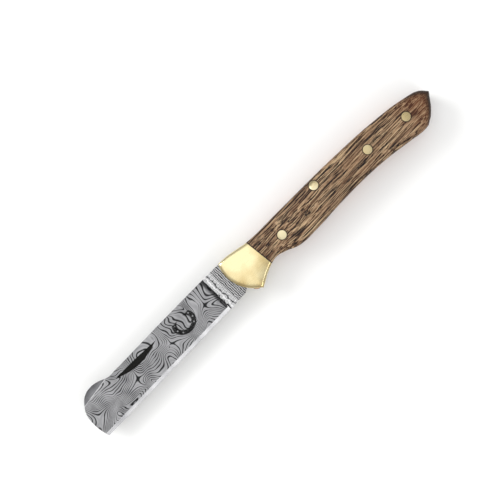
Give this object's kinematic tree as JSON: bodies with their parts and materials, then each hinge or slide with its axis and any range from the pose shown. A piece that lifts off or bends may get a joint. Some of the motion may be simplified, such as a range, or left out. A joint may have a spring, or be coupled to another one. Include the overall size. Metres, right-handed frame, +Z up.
{
  "type": "hoof knife",
  "caption": "Folding hoof knife with a hooked pattern-welded blade, brass bolsters, wooden scales on steel liners and a notched back spring.",
  "frame": {"origin": "centre of the open knife's bounding box, on the flat of the back scale that it lies on", "axes": "+X along the knife to the butt, +Y to the spine, +Z up out of the face with the nail nick; the pivot runs along Z"},
  "size_m": [0.2028, 0.027, 0.0207],
  "materials": {
    "blade_steel": "etched pattern-welded steel",
    "pin_steel": "polished",
    "spring_steel": "satin, with blackened notches",
    "liner_steel": "satin",
    "brass": "polished",
    "bronze": "satin",
    "wood_front": "oiled hardwood with dark streaks",
    "wood_back": "oiled red hardwood"
  },
  "bodies": {
    "handle": {"pivot_pin": "pin_steel", "pivot_washer_front": "bronze", "pivot_washer_back": "bronze", "back_spring": "spring_steel", "liner_front": "liner_steel", "liner_back": "liner_steel", "bolster_front": "brass", "bolster_back": "brass", "bolster_rivet_front_1": "brass", "bolster_rivet_front_2": "brass", "bolster_rivet_back_1": "brass", "bolster_rivet_back_2": "brass", "scale_front": "wood_front", "scale_back": "wood_back", "scale_pin_1": "brass", "scale_pin_2": "brass", "scale_pin_3": "brass", "scale_pin_4": "brass"},
    "blade": {"blade": "blade_steel"}
  },
  "joints": [
    {"name": "blade_fold", "type": "hinge", "parent": "handle", "child": "blade", "pos_m": [-0.00821, -0.00622, 0.01035], "axis": [0, 0, 1], "range_deg": [0, 180]}
  ]
}
